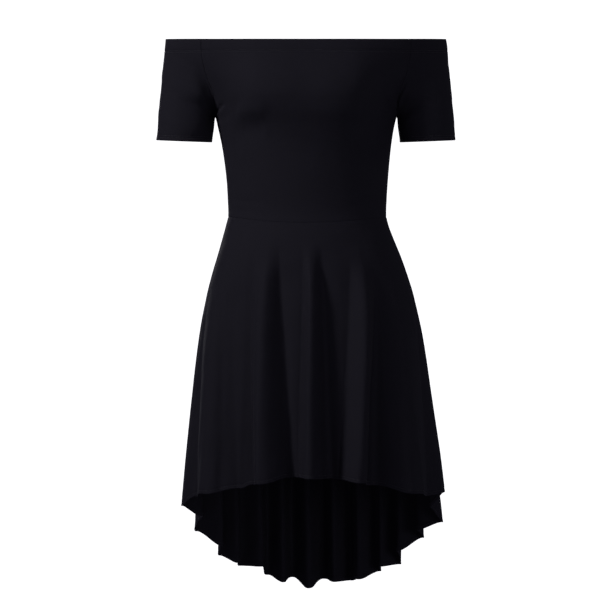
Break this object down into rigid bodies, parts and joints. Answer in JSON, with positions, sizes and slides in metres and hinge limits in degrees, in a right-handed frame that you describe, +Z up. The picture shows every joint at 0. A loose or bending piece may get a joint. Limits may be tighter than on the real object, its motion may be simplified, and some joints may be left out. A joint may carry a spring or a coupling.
{
  "type": "off-shoulder dress",
  "caption": "Black stretch jersey off-shoulder dress, filled out as worn: close bodice, short sleeves, flared skirt with a hem that is short in front and long behind.",
  "frame": {"origin": "middle of the neckline's opening, in the plane of the side seams, at half the height of the neckline's casing", "axes": "+Z up the dress, +X to the wearer's left, the front of the dress faces -Y"},
  "size_m": [0.4896, 0.4034, 0.9191],
  "materials": {
    "bodice_front": "matte black stretch jersey",
    "bodice_back": "matte black stretch jersey",
    "sleeve_left": "matte black stretch jersey",
    "sleeve_right": "matte black stretch jersey",
    "skirt_front": "matte black stretch jersey",
    "skirt_back": "matte black stretch jersey"
  },
  "bodies": {
    "root": {"bodice_front": "bodice_front", "bodice_back": "bodice_back", "sleeve_left": "sleeve_left", "sleeve_right": "sleeve_right", "skirt_front": "skirt_front", "skirt_back": "skirt_back"}
  },
  "joints": []
}
